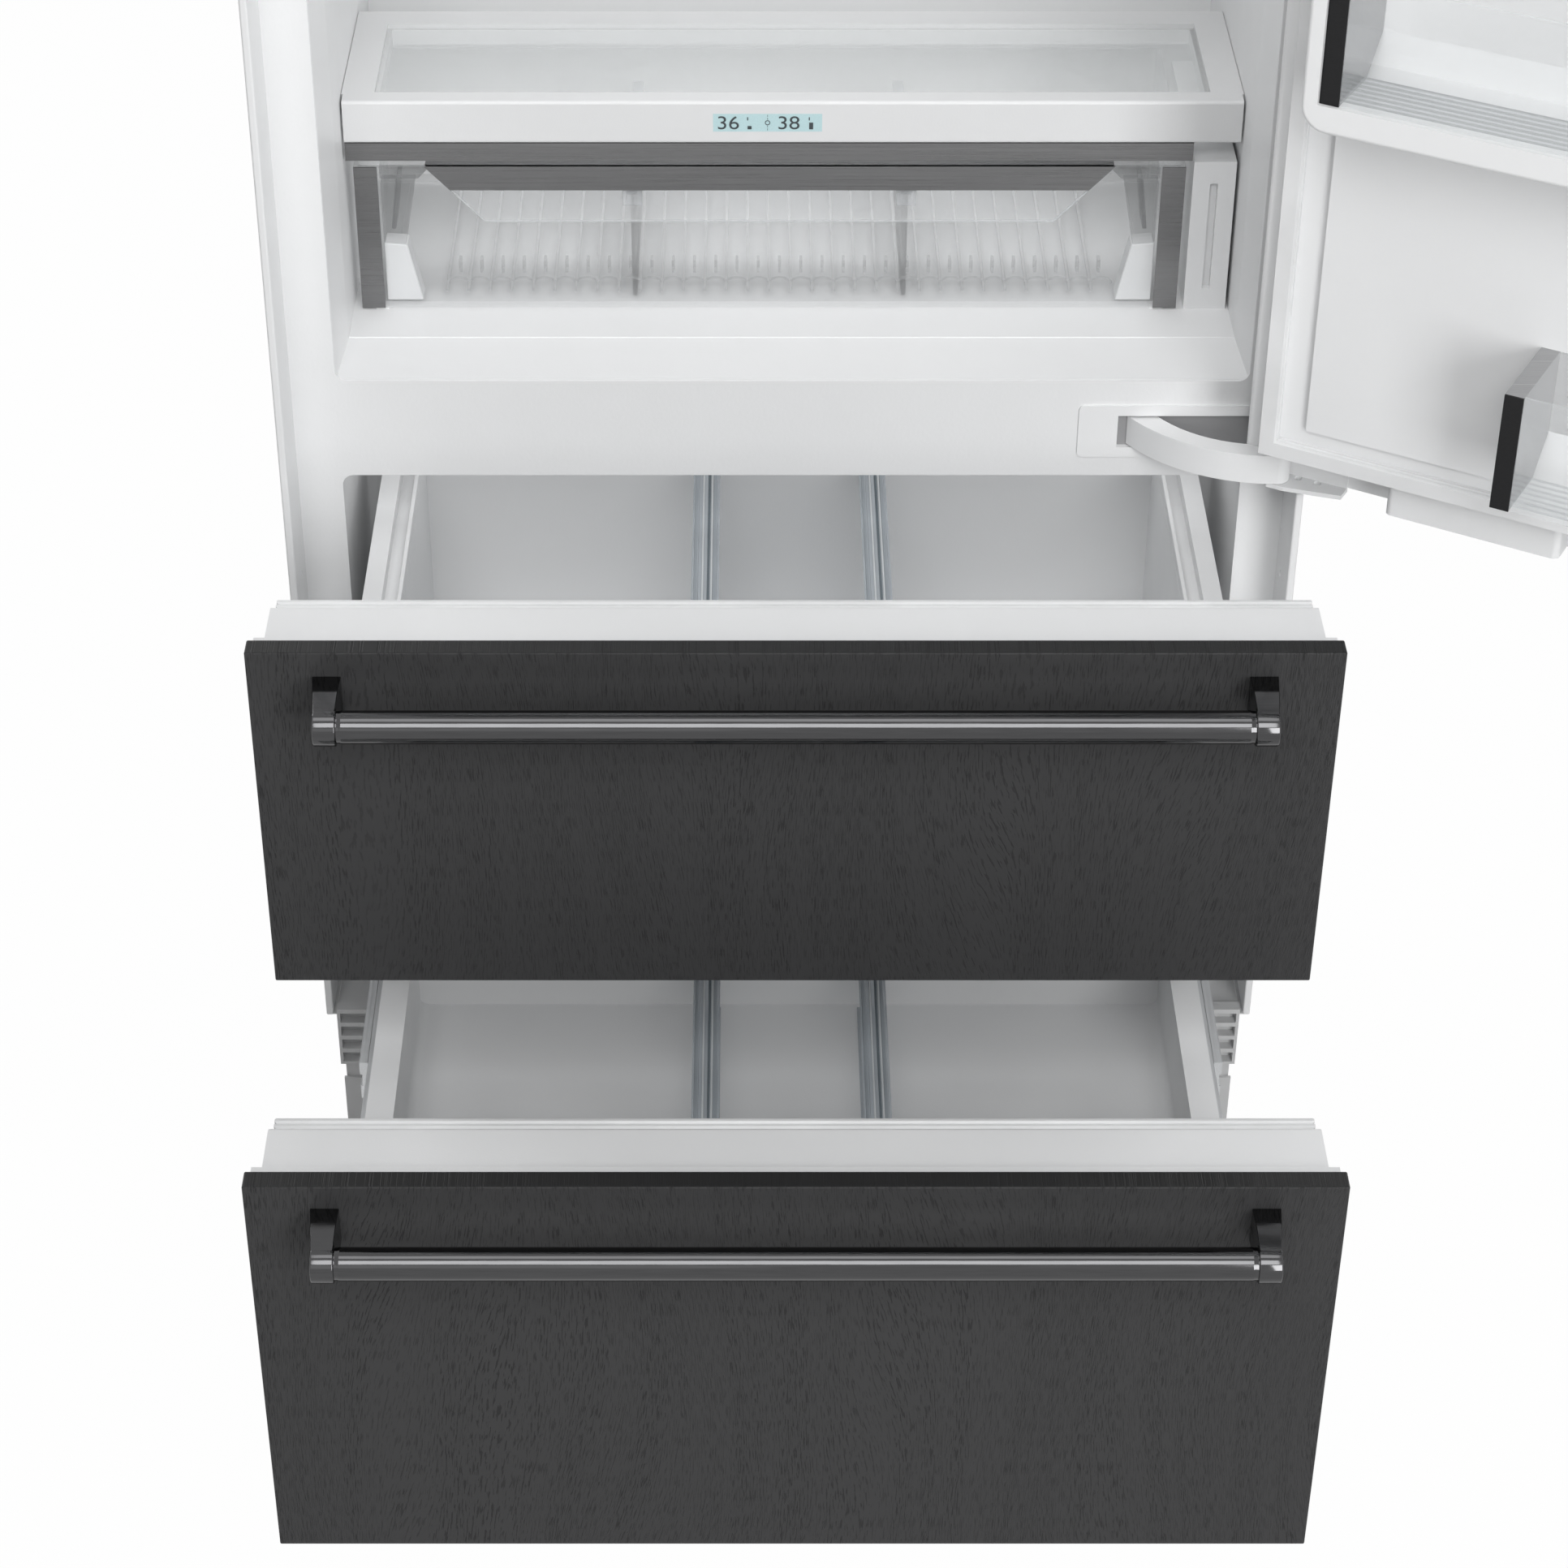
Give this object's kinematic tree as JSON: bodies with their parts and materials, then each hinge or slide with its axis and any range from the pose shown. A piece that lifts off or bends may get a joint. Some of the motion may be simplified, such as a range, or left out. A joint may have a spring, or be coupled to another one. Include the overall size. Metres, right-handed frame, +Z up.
{
  "type": "built-in refrigerator",
  "caption": "Tall built-in refrigerator with one hinged door over a glass-topped crisper and pull-out drawers behind dark wood panels with bar handles.",
  "frame": {"origin": "on the floor, midway between the four levelling feet", "axes": "+X to the right seen from the front, +Y to the back, +Z up"},
  "size_m": [1.6699, 1.161, 2.134],
  "materials": {
    "white_steel": "satin white enamel",
    "zinc_sheet": "dull zinc",
    "white_plastic": "smooth white",
    "foam": "rigid foam",
    "charcoal_wood": "stained grain",
    "seal": "soft pale grey",
    "dark_steel": "polished dark steel",
    "steel": "brushed",
    "hinge_steel": "zinc plated",
    "clear_plastic": "clear",
    "glass": "clear",
    "display": "lit screen",
    "black_steel": "black",
    "aluminium": "bare",
    "black_plastic": "matte"
  },
  "bodies": {
    "cabinet": {"outer_wrap": "white_steel", "back_panel": "zinc_sheet", "evaporator": "aluminium", "insulation": "foam", "fridge_liner": "white_plastic", "drawer_liners": "white_plastic", "face_frame": "white_steel", "side_flanges": "white_steel", "base_tray": "zinc_sheet", "levelling_feet": "hinge_steel", "louvre_panel": "white_steel", "kick_plate": "white_steel", "compressor": "black_steel", "condenser": "aluminium", "fan_shroud": "black_plastic", "slide_rails": "hinge_steel", "hinge_arms": "hinge_steel", "hinge_masks": "white_plastic", "crisper_deck": "white_plastic", "crisper_glass": "glass", "control_fascia": "white_plastic", "display_window": "display", "deck_trim": "steel", "air_filter_module": "white_plastic", "shelf_frames": "white_plastic", "shelf_glass": "glass", "shelf_tracks": "white_plastic"},
    "condenser_fan": {"fan_rotor": "black_plastic"},
    "door": {"door_panel": "charcoal_wood", "door_shell": "white_plastic", "door_seal": "seal", "door_handle_posts": "dark_steel", "door_handle_bar": "dark_steel", "door_liner": "white_plastic", "door_bins": "clear_plastic", "bin_trims": "steel", "hinge_brackets": "hinge_steel", "hinge_pins": "hinge_steel", "door_closer_housing": "white_plastic"},
    "upper_drawer": {"upper_drawer_panel": "charcoal_wood", "upper_drawer_shell": "white_plastic", "upper_drawer_seal": "seal", "upper_handle_posts": "dark_steel", "upper_handle_bar": "dark_steel", "upper_drawer_box": "white_plastic", "upper_drawer_dividers": "clear_plastic", "upper_slide_inner": "hinge_steel"},
    "upper_slide": {"upper_slide_middle": "hinge_steel"},
    "lower_drawer": {"lower_drawer_panel": "charcoal_wood", "lower_drawer_shell": "white_plastic", "lower_drawer_seal": "seal", "lower_handle_posts": "dark_steel", "lower_handle_bar": "dark_steel", "lower_drawer_box": "white_plastic", "lower_drawer_dividers": "clear_plastic", "lower_slide_inner": "hinge_steel"},
    "lower_slide": {"lower_slide_middle": "hinge_steel"},
    "crisper": {"crisper_drawer": "clear_plastic", "crisper_trims": "steel", "crisper_dividers": "clear_plastic"}
  },
  "joints": [
    {"name": "door_hinge", "type": "hinge", "parent": "cabinet", "child": "door", "pos_m": [0.4256, -0.3115, 0.895], "axis": [0, 0, 1], "range_deg": [-151, 0]},
    {"name": "upper_drawer_slide", "type": "slide", "parent": "cabinet", "child": "upper_drawer", "axis": [0, -1, 0], "range_m": [-0.224, 0.266]},
    {"name": "upper_slide_travel", "type": "slide", "parent": "cabinet", "child": "upper_slide", "axis": [0, -1, 0], "range_m": [-0.112, 0.133]},
    {"name": "lower_drawer_slide", "type": "slide", "parent": "cabinet", "child": "lower_drawer", "axis": [0, -1, 0], "range_m": [-0.49, 0]},
    {"name": "lower_slide_travel", "type": "slide", "parent": "cabinet", "child": "lower_slide", "axis": [0, -1, 0], "range_m": [-0.245, 0]},
    {"name": "crisper_slide", "type": "slide", "parent": "cabinet", "child": "crisper", "axis": [0, -1, 0], "range_m": [0, 0.2]},
    {"name": "fan_spin", "type": "hinge", "parent": "cabinet", "child": "condenser_fan", "pos_m": [-0.01, 0.06, 0.101], "axis": [1, 0, 0], "continuous": true}
  ],
  "couplings": [
    {"joint": "upper_slide_travel", "follows": "upper_drawer_slide", "ratio": 0.5},
    {"joint": "lower_slide_travel", "follows": "lower_drawer_slide", "ratio": 0.5}
  ]
}
